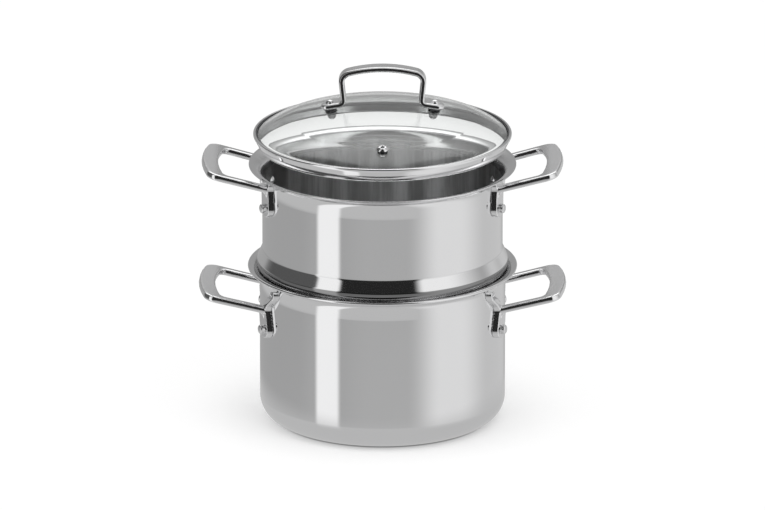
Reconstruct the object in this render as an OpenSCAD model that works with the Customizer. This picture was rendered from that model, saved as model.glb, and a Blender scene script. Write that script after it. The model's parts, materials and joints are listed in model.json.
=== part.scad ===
// Two-handled steel pot with a steamer insert and a domed glass lid.
// Millimetres, +Z up. The origin is the bottom centre of the pot's base.
// The right side handles are on +X, and the steam vent is on -Y.

/* [Pot] */
// Inner radius of the pot
pot_inner_r = 100; // [90:1:115]
// Wall and base thickness of the pot
pot_wall = 2.5; // [2:0.1:3.5]
// Height of the pot's rim
pot_height = 133.4; // [110:0.2:170]
// Outer radius of the rounded base corner
pot_corner_r = 20.6; // [10:0.2:24]
// Radius of the flare on the inner face of the rim
pot_flare_r = 11; // [8:0.2:14]

/* [Steamer] */
// Outer radius of the steamer's wall
steamer_outer_r = 100.3; // [90:0.1:112]
// Sheet thickness of the steamer
steamer_wall = 1; // [0.8:0.1:1.5]
// Height of the steamer's rim above the pot's rim
steamer_rise = 87.4; // [70:0.2:120]
// Depth of the steamer's floor below the pot's rim
steamer_depth = 22; // [20:1:40]
// Radius of the flare on the inner face of the steamer's rim
steamer_flare_r = 11.6; // [8:0.2:14]
// How far the seating bead stands out from the steamer's wall
bead_out = 4.6; // [3:0.1:6]
// Height of the slope above the bead
bead_slope_h = 12.8; // [8:0.1:14]
// Height of the bead's upright band
bead_band_h = 1; // [0.4:0.2:10]
// Outer radius of the bead's lower curve
bead_curve_r = 10; // [6:0.2:12]
// How far the skirt lies inside the bead
skirt_in = 6.9; // [6:0.1:8]
// Radius of the curve from the bead to the skirt
skirt_curve_r = 5; // [4:0.2:7]
// Outer radius of the steamer's bottom corner
steamer_corner_r = 8; // [5:0.2:12]
// Diameter of the steam holes
hole_d = 7; // [4:0.5:9]
// Distance between the rings of steam holes
hole_pitch = 15; // [12:0.5:20]
// Number of rings of steam holes round the middle hole
hole_rings = 5; // [3:1:5]

/* [Side handles] */
// Distance from the wall to the outer edge of a handle
handle_reach = 60.5; // [50:0.5:75]
// Distance between the centres of a handle's arms, at the wall
arm_spacing = 80; // [74:1:90]
// Turn of each arm outwards, towards the grip
arm_spread = 2; // [0:0.5:4]
// Width of an arm
arm_w = 7.4; // [6:0.2:9]
// Thickness of a handle
handle_t = 5.8; // [5:0.1:7]
// Width of the grip
grip_w = 13.5; // [11:0.5:18]
// Radius of the outer corners of the loop
loop_outer_r = 11; // [9:0.5:18]
// Radius of the inner corners of the loop
loop_inner_r = 6; // [4:0.5:10]
// Turn of the large curve of the grip, each side of the middle
grip_turn = 14; // [8:1:20]
// Rounding of an arm's edges
arm_edge_r = 2.2; // [1:0.1:2.4]
// Rounding of the grip's edges
grip_edge_r = 1.4; // [0.8:0.1:2.4]
// Slope of the pot's handles
pot_handle_slope = 13.6; // [5:0.1:20]
// Height of the pot's rim above its arms, at the wall
pot_handle_drop = 29.2; // [22:0.1:40]
// Slope of the steamer's handles
steamer_handle_slope = 14.8; // [5:0.1:20]
// Height of the steamer's rim above its arms, at the wall
steamer_handle_drop = 11.7; // [9:0.1:20]

/* [Feet and rivets] */
// Width of a foot's strap
foot_w = 15; // [12:0.5:18]
// Thickness of a foot
foot_t = 4.8; // [3:0.1:6]
// Length of the strap below the arm
foot_drop = 23.8; // [18:0.2:32]
// Distance between the centres of a handle's straps, at its arms
foot_spacing = 73; // [66:1:88]
// Lean of the straps of the pot's handles, outwards and down
pot_foot_lean = 12; // [0:1:16]
// Lean of the straps of the steamer's handles, outwards and down
steamer_foot_lean = 3; // [0:1:16]
// Height of a rivet above the end of its strap
rivet_rise = 8; // [6:0.1:10]
// Width of the horn under the rim
horn_w = 5.2; // [3:0.1:6]
// Radius of the horn's bends
horn_bend_r = 7.5; // [6:0.5:10]
// Turn of each of the horn's bends
horn_turn = 48; // [30:1:60]
// Straight length between the horn's bends
horn_run = 11; // [6:0.5:13]
// Turn of the short horn under the steamer's rim
short_horn_turn = 28; // [20:1:32]
// Radius of the fillet under an arm
arm_fillet_r = 5; // [3:0.5:7]
// Diameter of a rivet's shank
rivet_d = 5; // [4:0.5:6]
// Diameter of a rivet's outer head
rivet_head_d = 7.8; // [7:0.1:10]
// Height of a rivet's outer head
rivet_head_h = 4.4; // [3:0.1:5]
// Diameter of a rivet's inner head
rivet_inner_d = 9; // [7:0.1:11]
// Height of a rivet's inner head
rivet_inner_h = 2.2; // [1.5:0.1:3]

/* [Lid] */
// How far the lid is lifted off its seat
lid_lift = 18.6; // [0:0.2:150]
// Outer radius of the lid's ring
ring_r = 107.8; // [100:0.1:109]
// Sheet thickness of the ring
ring_t = 0.8; // [0.6:0.1:1]
// Height of the ring below its rolled lip
ring_skirt_h = 10; // [8:0.5:14]
// Angle of the ring's skirt from the upright
ring_taper = 28; // [15:1:30]
// Radius of the bend between the ring's skirt and its lip
ring_bend_r = 3; // [2:0.2:5]
// Outer radius of the hem at the ring's lower edge
hem_r = 1.2; // [1:0.1:2]
// Width of the hem's flat
hem_w = 1; // [0.5:0.1:2]
// Outer radius of the ring's rolled lip
lip_r = 1.2; // [1:0.1:1.6]
// Width of the lip's flat
lip_w = 0.6; // [0.2:0.1:1]
// Thickness of the glass
glass_t = 4; // [3:0.5:5]
// Gap between the glass edge and the ring, filled by the seal
seal_w = 2.4; // [1.8:0.1:3]
// Radius of the crown of the glass
crown_r = 270; // [240:1:400]
// Radius of the shoulder of the glass
shoulder_r = 87; // [70:1:110]
// Slope of the glass where the crown meets the shoulder
shoulder_slope = 17; // [12:0.5:19]
// Diameter of the steam vent's flange
vent_d = 10.2; // [8:0.1:13]
// Height of the steam vent's flange
vent_h = 2; // [1.5:0.1:3]
// Diameter of the steam hole in the vent
vent_hole_d = 3; // [2:0.1:4]
// Slope of the glass at the steam vent
vent_slope = 20.2; // [20:0.1:24]
// Thickness of the vent's silicone grommet
vent_seal_t = 1; // [0.6:0.1:1.5]

/* [Lid handle] */
// Width of the lid handle over its legs
lid_grip_w = 72.8; // [64:0.2:90]
// Height of the lid handle above its feet's underside
lid_grip_h = 37; // [32:0.5:46]
// Depth of the bar, front to back
bar_w = 12.8; // [10:0.2:16]
// Thickness of the bar
bar_t = 4.6; // [3.5:0.1:5.5]
// Bevel along the bar's edges
bar_bevel = 1.1; // [0.6:0.1:1.5]
// Radius of the arch of the grip, along the bar's middle
arch_r = 112; // [90:1:160]
// Radius of the bend between grip and leg
leg_bend_r = 8; // [5:0.5:12]
// Lean of the legs
leg_lean = 6; // [0:0.5:8]
// Radius of the bend between leg and foot
foot_bend_r = 4.4; // [3.4:0.1:6]
// Distance between the lid screws
screw_spacing = 86; // [82:1:94]
// Length of a foot past its screw, before the round end
foot_tail = 1.6; // [0:0.1:4]
// Diameter of a lid screw's shank
screw_d = 4; // [3:0.5:5]
// Diameter of a lid screw's head
screw_head_d = 7.6; // [6:0.1:9]
// Height of a lid screw's head
screw_head_h = 2.6; // [1.5:0.1:3]
// Diameter of the gaskets
gasket_d = 11.5; // [11:0.5:15]
// Thickness of the upper gaskets
gasket_t = 1; // [0.8:0.1:2.5]
// Diameter of the gasket below the glass
under_gasket_d = 10; // [10:0.2:14]
// Thickness of the lower gaskets
under_gasket_t = 1; // [0.8:0.1:2]
// Diameter of a cap nut
nut_d = 7.6; // [7:0.2:11]
// Height of a cap nut
nut_h = 5.8; // [5.4:0.1:8]
// Diameter of a cap nut's flange
nut_flange_d = 9.2; // [9:0.2:13]

/* [Hidden] */
$fn = 96;
left = -1;
right = 1;
front = -1;
rear = 1;

// Gap between faces that seat on each other but belong to different bodies
seat_gap = 0.3;
// Gap between a flat face and the curved face it lies on, at the nearest point
touch_gap = 0.02;
// Overlap of the stretches that a bent bar is drawn in
lap = 0.0002;
// How far the fillet's curve runs into the arm, so that the two cross and don't just touch
fillet_sink = 0.06;
// Turn of one step of a bent sheet's bend, and the steps of its rounded edge
bend_step_turn = 7.5;
cap_steps = 6;
// Clearance round a shank or a sleeve in its hole
shank_gap = 0.1;
// How far a cutting solid runs past what it cuts
overrun = 5;

steel = [0.78, 0.79, 0.8];
satin = [0.68, 0.69, 0.7];
rubber = [0.08, 0.08, 0.09];
glass = [0.8, 0.9, 0.88, 0.4];

// Pot
pot_outer_r = pot_inner_r + pot_wall;
pot_under_flare_r = pot_flare_r - pot_wall;
pot_flare_z = pot_height - pot_flare_r;
pot_rim_r = pot_inner_r + pot_flare_r;

// Steamer
steamer_inner_r = steamer_outer_r - steamer_wall;
steamer_under_flare_r = steamer_flare_r - steamer_wall;
steamer_rim_z = pot_height + steamer_rise;
steamer_rim_r = steamer_inner_r + steamer_flare_r;
steamer_flare_z = steamer_rim_z - steamer_flare_r;
steamer_floor_z = pot_height - steamer_depth;
bead_r = steamer_outer_r + bead_out;
skirt_r = bead_r - skirt_in;
steamer_floor_r = skirt_r - steamer_corner_r;
// The bead's lower curve rests on the pot's flare: the two arcs lie seat_gap apart.
bead_curve_z = pot_flare_z + sqrt(pow(pot_flare_r + bead_curve_r + seat_gap, 2)
    - pow(pot_rim_r - bead_r + bead_curve_r, 2));
skirt_turn = acos(1 - skirt_in / (bead_curve_r + skirt_curve_r));
skirt_top_z = bead_curve_z - (bead_curve_r + skirt_curve_r) * sin(skirt_turn);
slope_turn = 2 * atan(bead_out / bead_slope_h);
slope_r = bead_slope_h / 2 / sin(slope_turn);
slope_top_z = bead_curve_z + bead_band_h + bead_slope_h;

// Side handles: the loop lies in a plane, with u outwards from the wall and v sideways.
// arm_in and arm_out are the distances of an arm's edge lines from the origin.
arm_y = arm_spacing / 2;
arm_in = arm_y * cos(arm_spread) - arm_w / 2;
arm_out = arm_y * cos(arm_spread) + arm_w / 2;
outer_bow_r = bow_radius(arm_out, loop_outer_r, handle_reach);
inner_bow_r = bow_radius(arm_in, loop_inner_r, handle_reach - grip_w);
outer_bow_u = handle_reach - outer_bow_r;
inner_bow_u = handle_reach - grip_w - inner_bow_r;
fillet_inset_share = 0.6;
fillet_inset = fillet_inset_share * arm_edge_r;
corner_steps = 8;
bow_steps = 3;
edge_steps = 3;
foot_y = foot_spacing / 2;
rivet_edge_share = 0.35;
full_horn = [[0, horn_bend_r, -horn_turn], [horn_run, horn_bend_r, horn_turn]];
short_horn = [[0, horn_bend_r, -short_horn_turn]];
pot_handle_z = pot_height - pot_handle_drop;
steamer_handle_z = steamer_rim_z - steamer_handle_drop;

// Lid: heights here are from the ring's widest edge.
skirt_angle = 90 - ring_taper;
ring_bend_h = ring_bend_r * sin(ring_taper);
skirt_top_r = ring_r - ring_bend_r * (1 - cos(ring_taper));
skirt_end_r = skirt_top_r - (ring_skirt_h - ring_bend_h) * tan(ring_taper);
skirt_run = (ring_skirt_h - ring_bend_h) / cos(ring_taper);
hem_centre_r = skirt_end_r - hem_r * sin(skirt_angle);
hem_centre_h = -ring_skirt_h + hem_r * cos(skirt_angle);
ring_inner_r = ring_r - ring_t;
glass_r = ring_inner_r - seal_w;
shoulder_centre_r = (crown_r - shoulder_r) * sin(shoulder_slope);
glass_edge_slope = asin((glass_r - shoulder_centre_r) / shoulder_r);
shoulder_h = -shoulder_r * cos(glass_edge_slope);
crown_h = shoulder_h - (crown_r - shoulder_r) * cos(shoulder_slope);
shoulder_lap = 0.02;
seal_top_h = lip_r - ring_t - touch_gap;
seal_bottom_h = -ring_skirt_h / 3;
// The hem rests on the steamer's flare: the two arcs lie seat_gap apart.
lid_seat_z = steamer_flare_z - hem_centre_h
    + sqrt(pow(steamer_flare_r + hem_r + seat_gap, 2) - pow(steamer_rim_r - hem_centre_r, 2));
lid_z = lid_seat_z + lid_lift;

// Lid handle: its half, from the middle of the grip to the foot, in the XZ plane
screw_tilt = asin(screw_spacing / 2 / crown_r);
leg_heading = 90 + leg_lean;
arch_turn = asin((lid_grip_w / 2 - leg_bend_r - bar_t / 2) / (arch_r - leg_bend_r));
foot_under_h = gasket_t + 2 * touch_gap;
foot_mid_r = crown_r + foot_under_h + bar_t / 2;
foot_x = foot_mid_r * sin(screw_tilt);
foot_z = lid_z + crown_h + foot_mid_r * cos(screw_tilt);
grip_mid_z = foot_z + lid_grip_h - bar_t;
leg_free_x = arch_r * sin(arch_turn) + leg_bend_r * (sin(leg_heading) - sin(arch_turn))
    + foot_bend_r * (sin(leg_heading) - sin(screw_tilt));
leg_free_z = grip_mid_z - arch_r * (1 - cos(arch_turn))
    - leg_bend_r * (cos(arch_turn) - cos(leg_heading))
    + foot_bend_r * (cos(leg_heading) - cos(screw_tilt));
leg_run = (leg_free_z - foot_z + (leg_free_x - foot_x) * tan(screw_tilt))
    / (sin(leg_heading) - cos(leg_heading) * tan(screw_tilt));
foot_start_x = leg_free_x + leg_run * cos(leg_heading);
foot_run = (foot_x - foot_start_x) / cos(screw_tilt) + foot_tail;

// Lid fasteners, along the screw from the glass
screw_hole_d = screw_d + 2 * shank_gap;
glass_hole_d = 7;
gasket_sleeve_d = glass_hole_d - 2 * shank_gap;
gasket_sag = pow(under_gasket_d / 2, 2) / 2 / (crown_r - glass_t);
under_gasket_top = -glass_t - gasket_sag - touch_gap;
nut_top = under_gasket_top - under_gasket_t - touch_gap;
nut_flange_t = 1;
nut_roof = 1.2;

// Steam vent, along its axis from the glass
vent_barrel_d = 5;
vent_seal_d = vent_d - 2 * vent_seal_t;
vent_sleeve_d = vent_barrel_d + 2 * vent_seal_t;
vent_glass_hole_d = vent_sleeve_d + 2 * shank_gap;
vent_lower_h = 1;
vent_sag = pow(vent_seal_d / 2, 2) / 2 / (shoulder_r - glass_t);
vent_seal_under = -glass_t - vent_sag - touch_gap - vent_seal_t;
vent_mouth_share = 1.6;

// A bent sheet seen edge-on. It starts at the origin and goes along +X, and the sheet lies
// to the left of the path. A step is [straight run, bend radius of the path, turn to the left].
module strip(t, steps) {
    end = path_end(steps);
    heading = path_heading(steps);
    cap = [for (i = [1:cap_steps - 1])
        end + t / 2 * (left_of(heading) + along(heading - 90 + 180 * i / cap_steps))];
    side = strip_side(steps, t);
    polygon(concat(strip_side(steps, 0), cap, [for (i = [len(side) - 1:-1:0]) side[i]]));
}

function along(a) = [cos(a), sin(a)];
function left_of(a) = along(a + 90);

// Where a path of steps ends, and which way it then goes
function path_heading(steps, i = 0) = i == len(steps) ? 0 : steps[i][2] + path_heading(steps, i + 1);
function path_end(steps, i = 0, p = [0, 0], a = 0) =
    i == len(steps) ? p : path_end(steps, i + 1, bend_end(steps[i], p, a), a + steps[i][2]);
function bend_centre(step, p, a) = p + step[0] * along(a) + sign(step[2]) * step[1] * left_of(a);
function bend_end(step, p, a) =
    bend_centre(step, p, a) - sign(step[2]) * step[1] * left_of(a + step[2]);

// The points of a strip's side, which lies off to the left of the path
function strip_side(steps, off, i = 0, p = [0, 0], a = 0) =
    i == len(steps) ? [] :
    let (step = steps[i], side = sign(step[2]), centre = bend_centre(step, p, a),
         n = max(1, ceil(abs(step[2]) / bend_step_turn)), first = i > 0 && step[0] == 0 ? 1 : 0)
    concat(
        i == 0 && step[0] > 0 ? [p + off * left_of(a)] : [],
        side == 0 ? [p + step[0] * along(a) + off * left_of(a)] :
        [for (k = [first:n]) centre + (off - side * step[1]) * left_of(a + step[2] * k / n)],
        strip_side(steps, off, i + 1, bend_end(step, p, a), a + step[2]));

// A sector of a flat ring, from the +X axis to the turn, which may be negative
module ring_sector(inner_r, outer_r, turn) {
    reach = 2 * outer_r;
    intersection() {
        difference() {
            circle(r = outer_r);
            circle(r = inner_r);
        }
        polygon([[0, 0], [reach, 0], reach * along(turn / 2), reach * along(turn)]);
    }
}

// A bar bent in the XY plane. It starts at the origin and goes along +X. A step is
// [straight run, bend radius of the middle, turn to the left]. The children are the
// section, with X to the left of the path and Y up.
module bent_bar(steps) {
    run = steps[0][0];
    r = steps[0][1];
    turn = steps[0][2];
    translate([-lap, 0, 0])
        rotate([90, 0, 90])
            linear_extrude(run + 2 * lap)
                children();
    if (turn > 0)
        translate([run, 0, 0])
            left_bend(r, turn)
                children();
    if (turn < 0)
        translate([run, 0, 0])
            mirror([0, 1, 0])
                left_bend(r, -turn)
                    mirror([1, 0])
                        children();
    if (len(steps) > 1)
        translate([run + r * sin(abs(turn)), sign(turn) * r * (1 - cos(turn)), 0])
            rotate([0, 0, turn])
                bent_bar([for (i = [1:len(steps) - 1]) steps[i]])
                    children();
}

module left_bend(r, turn) {
    translate([0, r, 0])
        rotate([0, 0, -90])
            rotate_extrude(angle = turn)
                translate([r, 0])
                    mirror([1, 0])
                        children();
}

// A rectangle about the origin with bevelled corners
module bevelled(size, bevel) {
    x = size[0] / 2;
    y = size[1] / 2;
    polygon([[x - bevel, -y], [x, bevel - y], [x, y - bevel], [x - bevel, y],
             [bevel - x, y], [-x, y - bevel], [-x, bevel - y], [bevel - x, -y]]);
}

// A spherical cap that stands on the XY plane
module dome(d, h) {
    r = (pow(d / 2, 2) + pow(h, 2)) / 2 / h;
    rotate_extrude()
        intersection() {
            translate([0, h - r]) circle(r = r);
            square([d / 2, h]);
        }
}

// A round head that stands on the XY plane, with a rounded edge round its flat face
module button(d, h, edge_r) {
    rotate_extrude() {
        square([d / 2 - edge_r, h]);
        square([d / 2, h - edge_r]);
        translate([d / 2 - edge_r, h - edge_r]) circle(r = edge_r);
    }
}

// Children made for the right-hand side, on either side
module on_side(side) {
    mirror([side < 0 ? 1 : 0, 0, 0]) children();
}

// Height and sideways place of a rivet under the arm, on a strap that leans
function rivet_drop(lean) = (foot_drop - rivet_rise) * cos(lean);
function rivet_y(lean) = foot_y + (foot_drop - rivet_rise) * sin(lean);

// The frame of a rivet: X outwards along its axis, with its origin on the wall's outer face
module at_rivet(side, end, wall_r, arm_z, lean) {
    on_side(side)
        rotate([0, 0, end * asin(rivet_y(lean) / wall_r)])
            translate([wall_r, 0, arm_z - rivet_drop(lean)])
                children();
}

module rivet_holes(wall_r, arm_z, lean) {
    for (side = [left, right], end = [front, rear])
        at_rivet(side, end, wall_r, arm_z, lean)
            rotate([0, 90, 0])
                cylinder(d = rivet_d + 2 * shank_gap, h = 4 * overrun, center = true);
}

// A rivet through the strap and the wall, with its shank along X
module rivet(side, end, wall_r, wall_t, arm_z, lean) {
    inner_sag = pow(rivet_inner_d / 2, 2) / 2 / (wall_r - wall_t);
    inner_x = -wall_t - inner_sag - touch_gap;
    outer_x = foot_t + touch_gap;
    color(steel)
        at_rivet(side, end, wall_r, arm_z, lean) {
            translate([inner_x, 0, 0])
                rotate([0, 90, 0])
                    translate([0, 0, -rivet_inner_h / 2])
                        cylinder(d = rivet_d,
                                 h = outer_x - inner_x + (rivet_inner_h + rivet_head_h) / 2);
            translate([outer_x, 0, 0])
                rotate([0, 90, 0])
                    button(rivet_head_d, rivet_head_h, rivet_edge_share * rivet_head_h);
            translate([inner_x, 0, 0])
                rotate([0, -90, 0])
                    dome(rivet_inner_d, rivet_inner_h);
        }
}

// Radius of the grip's large arc, for a corner arc that also touches an arm's edge line
function bow_radius(edge, corner_r, reach) =
    (edge - corner_r * (1 - sin(grip_turn - arm_spread)) + reach * sin(arm_spread))
    / (sin(arm_spread) + sin(grip_turn - arm_spread));

// The point of an arm's edge line at a place along the handle
function arm_point(edge, u) = [u, (edge + u * sin(arm_spread)) / cos(arm_spread)];

// The cuts across half of the loop, from an arm's root to the middle of the grip: each is
// [inner point, outer point, edge radius], with points in (u, v).
function loop_cuts(root_u) = concat(
    [[arm_point(arm_in, root_u), arm_point(arm_out, root_u), arm_edge_r]],
    [for (i = [0:corner_steps])
        let (share = i / corner_steps,
             a = 90 + arm_spread - (90 + arm_spread - grip_turn) * share)
        [bow_point(inner_bow_u, inner_bow_r, loop_inner_r, a),
         bow_point(outer_bow_u, outer_bow_r, loop_outer_r, a),
         arm_edge_r + (grip_edge_r - arm_edge_r) * share]],
    [for (i = [1:bow_steps])
        let (a = grip_turn * (1 - i / bow_steps))
        [[inner_bow_u, 0] + inner_bow_r * [cos(a), sin(a)],
         [outer_bow_u, 0] + outer_bow_r * [cos(a), sin(a)],
         grip_edge_r]]);

// A point of the corner arc that runs into the grip's large arc
function bow_point(bow_u, bow_r, corner_r, a) =
    [bow_u, 0] + (bow_r - corner_r) * [cos(grip_turn), sin(grip_turn)]
    + corner_r * [cos(a), sin(a)];

// The rounded section across a cut, as 3-D points
function cut_section(cut) =
    let (w = norm(cut[1] - cut[0]), d = (cut[1] - cut[0]) / w, e = cut[2])
    [for (corner = [0:3], i = [0:edge_steps])
        let (a = 180 + corner * 90 + i * 90 / edge_steps,
             across = (corner == 1 || corner == 2 ? w - e : e) + e * cos(a),
             up = (corner > 1 ? 1 : -1) * (handle_t / 2 - e) + e * sin(a),
             p = cut[0] + across * d)
        [p[0], p[1], up]];

function mirrored(cuts) =
    [for (i = [len(cuts) - 2:-1:0])
        let (cut = cuts[i])
        [[cut[0][0], -cut[0][1]], [cut[1][0], -cut[1][1]], cut[2]]];

// The loop of a side handle, lofted through its cuts
module handle_loop(root_u) {
    half = loop_cuts(root_u);
    cuts = concat(half, mirrored(half));
    sections = [for (cut = cuts) cut_section(cut)];
    n = len(sections[0]);
    last = len(sections) - 1;
    points = [for (section = sections) each section];
    sides = [for (i = [0:last - 1], j = [0:n - 1])
        let (a = i * n + j, b = i * n + (j + 1) % n)
            each [[a, b + n, b], [a, a + n, b + n]]];
    ends = [for (j = [1:n - 2])
        each [[0, j, j + 1], [last * n, last * n + j + 1, last * n + j]]];
    polyhedron(points, concat(sides, ends));
}

// The outline of a foot on the wall, seen from outside, with X sideways from the middle of
// the handle and Y up from the arm
module foot_outline(lean, horn) {
    translate([foot_y, 0])
        rotate(lean) {
            translate([-foot_w / 2, foot_w / 2 - foot_drop])
                square([foot_w, foot_drop - foot_w / 2 + handle_t / 2]);
            translate([0, foot_w / 2 - foot_drop])
                circle(d = foot_w);
        }
    translate([foot_y + foot_w / 2, 0])
        rotate(90)
            strip(horn_w, horn);
}

// The concave fillet between the underside of an arm and its strap, in the XZ plane
module arm_fillet(slope) {
    f = arm_fillet_r;
    under = -handle_t / 2 / cos(slope);
    centre = [f, under + f * tan(slope) - f / cos(slope) + fillet_sink];
    difference() {
        polygon([[-foot_t, centre[1]], centre, centre + f * [-sin(slope), cos(slope)],
                 [f, 0], [-foot_t, 0]]);
        translate(centre) circle(r = f);
    }
}

// Everything inside the outer face of a vessel, up to the underside of its rim
module vessel_inside(wall_r, under_flare_r, flare_z) {
    face = strip_side([[flare_z, under_flare_r, -90]], 0);
    rotate_extrude($fn = 180)
        polygon(concat(
            [for (p = face) [wall_r - p[1], p[0]]],
            [[0, flare_z + under_flare_r], [0, 0]]));
}

// A side handle on +X, before the vessel and the rivet holes are cut away
module handle_blank(wall_r, arm_z, slope, lean, horn) {
    root_x = sqrt(pow(wall_r, 2) - pow(arm_y, 2));
    foot_x = sqrt(pow(wall_r + foot_t, 2) - pow(arm_y, 2));
    translate([root_x, 0, arm_z])
        rotate([0, -slope, 0])
            handle_loop(-overrun);
    for (end = [front, rear])
        mirror([0, end < 0 ? 1 : 0, 0]) {
            intersection() {
                cylinder(r = wall_r + foot_t, h = 2 * arm_z, $fn = 180);
                translate([0, 0, arm_z])
                    rotate([90, 0, 90])
                        linear_extrude(wall_r + foot_t)
                            foot_outline(lean, horn);
            }
            translate([foot_x, arm_point(arm_out - fillet_inset, foot_x - root_x)[1],
                       arm_z + (foot_x - root_x) * tan(slope)])
                rotate([90, 0, arm_spread])
                    linear_extrude(arm_w - 2 * fillet_inset)
                        arm_fillet(slope);
        }
}

module pot_handle(side) {
    color(satin)
        on_side(side)
            difference() {
                handle_blank(pot_outer_r, pot_handle_z, pot_handle_slope, pot_foot_lean,
                             full_horn);
                vessel_inside(pot_outer_r, pot_under_flare_r, pot_flare_z);
                rivet_holes(pot_outer_r, pot_handle_z, pot_foot_lean);
            }
}

module steamer_handle(side) {
    color(satin)
        on_side(side)
            difference() {
                handle_blank(steamer_outer_r, steamer_handle_z, steamer_handle_slope,
                             steamer_foot_lean, short_horn);
                vessel_inside(steamer_outer_r, steamer_under_flare_r, steamer_flare_z);
                rivet_holes(steamer_outer_r, steamer_handle_z, steamer_foot_lean);
            }
}

module pot_rivet(side, end) {
    rivet(side, end, pot_outer_r, pot_wall, pot_handle_z, pot_foot_lean);
}

module steamer_rivet(side, end) {
    rivet(side, end, steamer_outer_r, steamer_wall, steamer_handle_z, steamer_foot_lean);
}

// The pot: from the middle of its base, round the corner and up to the flared rim
module pot_shell() {
    color(steel)
        difference() {
            rotate_extrude($fn = 180)
                strip(pot_wall, [
                    [pot_outer_r - pot_corner_r, pot_corner_r, 90],
                    [pot_flare_z - pot_corner_r, pot_under_flare_r, -90]]);
            rivet_holes(pot_outer_r, pot_handle_z, pot_foot_lean);
        }
}

// The steamer's wall: from its floor up the skirt, out round the seating bead, and up the
// wall to the flared rim
module steamer_wall() {
    color(steel)
        difference() {
            rotate_extrude($fn = 180)
                translate([steamer_floor_r, steamer_floor_z])
                    strip(steamer_wall, [
                        [0, steamer_corner_r, 90],
                        [skirt_top_z - steamer_floor_z - steamer_corner_r,
                         skirt_curve_r, -skirt_turn],
                        [0, bead_curve_r, skirt_turn],
                        [bead_band_h, slope_r, slope_turn],
                        [0, slope_r, -slope_turn],
                        [steamer_flare_z - slope_top_z, steamer_under_flare_r, -90]]);
            rivet_holes(steamer_outer_r, steamer_handle_z, steamer_foot_lean);
        }
}

// The steamer's floor, with rings of steam holes
module steamer_floor() {
    color(steel)
        translate([0, 0, steamer_floor_z])
            difference() {
                cylinder(r = steamer_floor_r, h = steamer_wall, $fn = 180);
                steam_hole();
                for (ring = [1:hole_rings], i = [0:6 * ring - 1])
                    rotate([0, 0, i * 60 / ring])
                        translate([ring * hole_pitch, 0, 0])
                            steam_hole();
            }
}

module steam_hole() {
    cylinder(d = hole_d, h = 2 * overrun, center = true, $fn = 32);
}

// The glass: a crown and a shoulder of one thickness, with an upright ground edge
module lid_glass() {
    color(glass)
        difference() {
            translate([0, 0, lid_z])
                rotate_extrude($fn = 180)
                    intersection() {
                        union() {
                            translate([0, crown_h])
                                rotate(90 - shoulder_slope)
                                    ring_sector(crown_r - glass_t, crown_r, 2 * shoulder_slope,
                                                $fn = 360);
                            translate([shoulder_centre_r, shoulder_h])
                                rotate(90 - shoulder_slope + shoulder_lap)
                                    ring_sector(shoulder_r - glass_t, shoulder_r,
                                                -2 * (glass_edge_slope - shoulder_slope));
                        }
                        translate([0, -shoulder_r])
                            square([glass_r, 2 * shoulder_r]);
                    }
            for (side = [left, right])
                on_glass(side)
                    cylinder(d = glass_hole_d, h = 4 * overrun, center = true);
            at_vent()
                cylinder(d = vent_glass_hole_d, h = 4 * overrun, center = true);
        }
}

// The frame of a lid screw: Z along its axis, with its origin on the glass
module on_glass(side) {
    on_side(side)
        translate([0, 0, lid_z + crown_h])
            rotate([0, screw_tilt, 0])
                translate([0, 0, crown_r])
                    children();
}

// The frame of the steam vent, with its origin on the glass
module at_vent() {
    translate([0, -shoulder_centre_r, lid_z + shoulder_h])
        rotate([vent_slope, 0, 0])
            translate([0, 0, shoulder_r])
                children();
}

// The ring: from the hem up its skirt and over the rolled lip
module lid_ring() {
    color(steel)
        translate([0, 0, lid_z])
            rotate_extrude($fn = 180)
                translate([hem_centre_r - hem_w, hem_centre_h - hem_r])
                    strip(ring_t, [
                        [hem_w, hem_r, skirt_angle],
                        [skirt_run, ring_bend_r, ring_taper],
                        [0, lip_r, 90],
                        [lip_w, lip_r, 0]]);
}

// The silicone between the glass edge and the ring
module glass_seal() {
    skirt_in_h = -ring_bend_h + ring_t * sin(ring_taper);
    skirt_in_r = skirt_top_r - ring_t * cos(ring_taper);
    bottom_r = skirt_in_r - (skirt_in_h - seal_bottom_h) * tan(ring_taper);
    color(rubber)
        translate([0, 0, lid_z])
            rotate_extrude($fn = 180)
                polygon([
                    [glass_r + touch_gap, seal_bottom_h],
                    [bottom_r - touch_gap, seal_bottom_h],
                    [skirt_in_r - touch_gap, skirt_in_h],
                    [ring_inner_r - 2 * touch_gap, 0],
                    [ring_r - lip_r, seal_top_h],
                    [glass_r + touch_gap, seal_top_h]]);
}

module lid_handle() {
    color(satin)
        difference() {
            for (side = [left, right])
                on_side(side) {
                    translate([0, 0, grip_mid_z])
                        rotate([90, 0, 0])
                            bent_bar([
                                [0, arch_r, -arch_turn],
                                [0, leg_bend_r, arch_turn - leg_heading],
                                [leg_run, foot_bend_r, leg_heading - screw_tilt],
                                [foot_run, 0, 0]])
                                bevelled([bar_t, bar_w], bar_bevel);
                    on_glass(right)
                        translate([foot_tail, 0, foot_under_h + bar_t / 2])
                            rotate_extrude()
                                intersection() {
                                    bevelled([bar_w, bar_t], bar_bevel);
                                    translate([0, -bar_t]) square([bar_w, 2 * bar_t]);
                                }
                }
            for (side = [left, right])
                on_glass(side)
                    cylinder(d = screw_hole_d, h = 4 * overrun, center = true);
        }
}

// A lid screw: a domed head on the foot, and a shank down into the cap nut
module lid_screw(side) {
    under_head = foot_under_h + bar_t + touch_gap;
    tip = nut_top - nut_h + nut_roof + shank_gap;
    color(steel)
        on_glass(side) {
            translate([0, 0, under_head]) dome(screw_head_d, screw_head_h);
            translate([0, 0, tip]) cylinder(d = screw_d, h = under_head + screw_head_h / 2 - tip);
        }
}

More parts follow.
